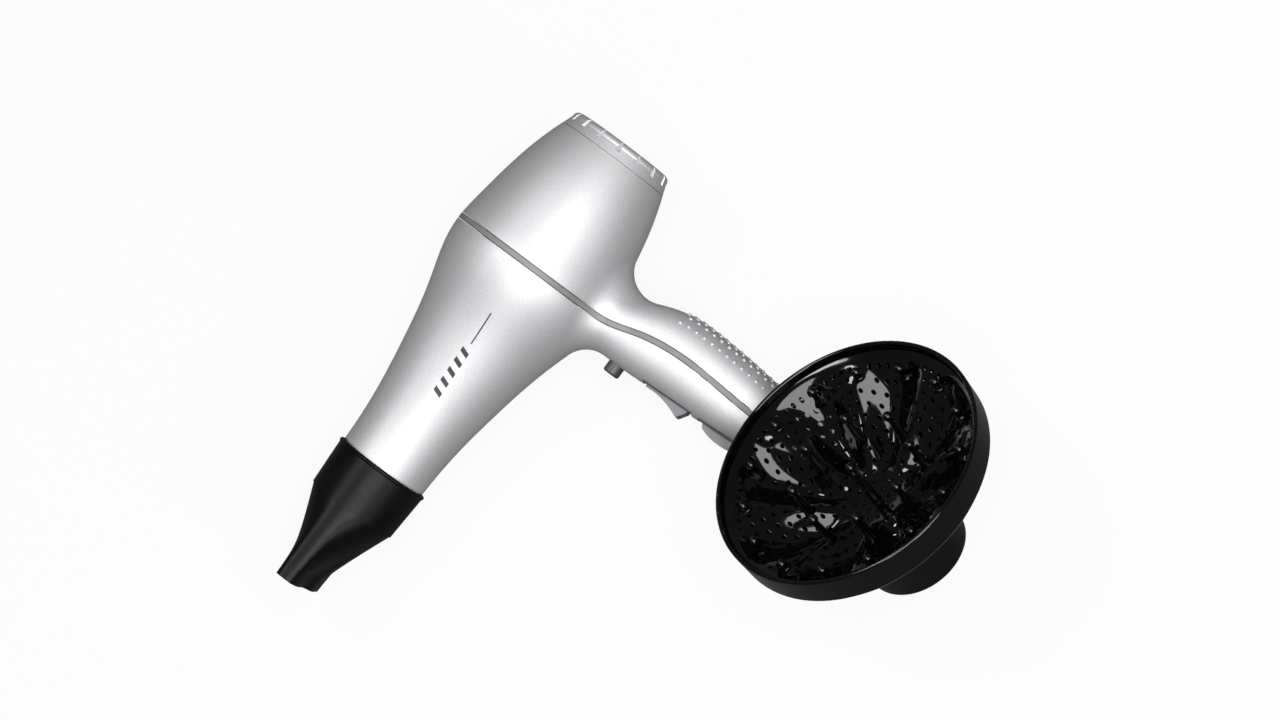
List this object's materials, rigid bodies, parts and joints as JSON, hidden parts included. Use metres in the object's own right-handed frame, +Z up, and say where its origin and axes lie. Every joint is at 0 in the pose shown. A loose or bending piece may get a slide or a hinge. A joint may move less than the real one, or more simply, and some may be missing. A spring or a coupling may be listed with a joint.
{
  "type": "hair dryer",
  "caption": "Hair dryer with a bulbous tapering barrel, flat concentrator nozzle and angled handle, lying on its side with its finger diffuser leaning on the handle.",
  "frame": {"origin": "middle of the bounding box, on the surface that the dryer lies on", "axes": "+Z up; +X the way the air blows, 4.5 degrees down along the barrel; +Y from the barrel down the handle"},
  "size_m": [0.2873, 0.3316, 0.1164],
  "materials": {
    "silver_shell": "metallic silver lacquer, satin",
    "grey_trim": "satin",
    "black_moulding": "moulded",
    "black_satin": "satin",
    "black_gloss": "polished",
    "switch_grey": "satin",
    "button_grey": "satin",
    "steel": "bright",
    "ferrite": "sintered",
    "bronze": "sintered",
    "copper": "turned",
    "mica": "pressed sheet",
    "capacitor_yellow": "moulded",
    "rubber": "moulded"
  },
  "bodies": {
    "dryer": {"front_housing": "silver_shell", "rear_housing": "silver_shell", "parting_strip": "grey_trim", "fan_duct": "black_moulding", "motor_can": "steel", "motor_magnets": "ferrite", "brush_plate": "black_moulding", "brushes": "ferrite", "rear_bush": "bronze", "front_bush": "bronze", "heat_shield": "steel", "mica_former": "mica", "heater_coils": "steel", "thermostat": "steel", "thermal_fuse": "steel", "outlet_grille": "steel", "cool_switch": "black_moulding", "cool_spring": "steel", "switch_1_body": "black_moulding", "switch_2_body": "black_moulding", "capacitor": "capacitor_yellow", "cord_gland": "rubber", "cord_clamp_top": "black_moulding", "cord_clamp_base": "black_moulding", "clamp_screws": "steel", "housing_screws": "steel"},
    "rotor": {"motor_shaft": "steel", "armature": "steel", "commutator": "copper", "impeller": "black_moulding"},
    "cap": {"rear_cap": "silver_shell", "intake_filter": "steel"},
    "rocker_1": {"rocker_1": "switch_grey"},
    "rocker_2": {"rocker_2": "switch_grey"},
    "cool_button": {"cool_button": "button_grey"},
    "nozzle": {"nozzle": "black_satin"},
    "diffuser": {"diffuser_bowl": "black_gloss", "diffuser_dish": "black_gloss", "diffuser_grip": "rubber"}
  },
  "joints": [
    {"name": "impeller_spin", "type": "hinge", "parent": "dryer", "child": "rotor", "pos_m": [-0.06216, -0.11939, 0.04662], "axis": [0.9969, -0.0148, -0.0774], "continuous": true},
    {"name": "cap_twist", "type": "hinge", "parent": "dryer", "child": "cap", "pos_m": [-0.13393, -0.11832, 0.05219], "axis": [0.9969, -0.0148, -0.0774], "range_deg": [0, 25]},
    {"name": "nozzle_turn", "type": "hinge", "parent": "dryer", "child": "nozzle", "pos_m": [0.07741, -0.12146, 0.03578], "axis": [0.9969, -0.0148, -0.0774], "continuous": true},
    {"name": "rocker_1_tilt", "type": "hinge", "parent": "dryer", "child": "rocker_1", "pos_m": [-0.05468, -0.02197, 0.02736], "axis": [0.0788, 0.1875, 0.9791], "range_deg": [0, 24]},
    {"name": "rocker_2_tilt", "type": "hinge", "parent": "dryer", "child": "rocker_2", "pos_m": [-0.05572, 0.01252, 0.02084], "axis": [0.0788, 0.1875, 0.9791], "range_deg": [-12, 12]},
    {"name": "cool_press", "type": "slide", "parent": "dryer", "child": "cool_button", "axis": [-0.9969, 0.0148, 0.0774], "range_m": [0, 0.0035], "stiffness_N_per_m": 300, "springref_m": -0.002, "deforming": ["cool_spring"]},
    {"name": "diffuser_lift", "type": "slide", "parent": "dryer", "child": "diffuser", "axis": [0, 0, 1], "range_m": [0, 0.15]}
  ]
}
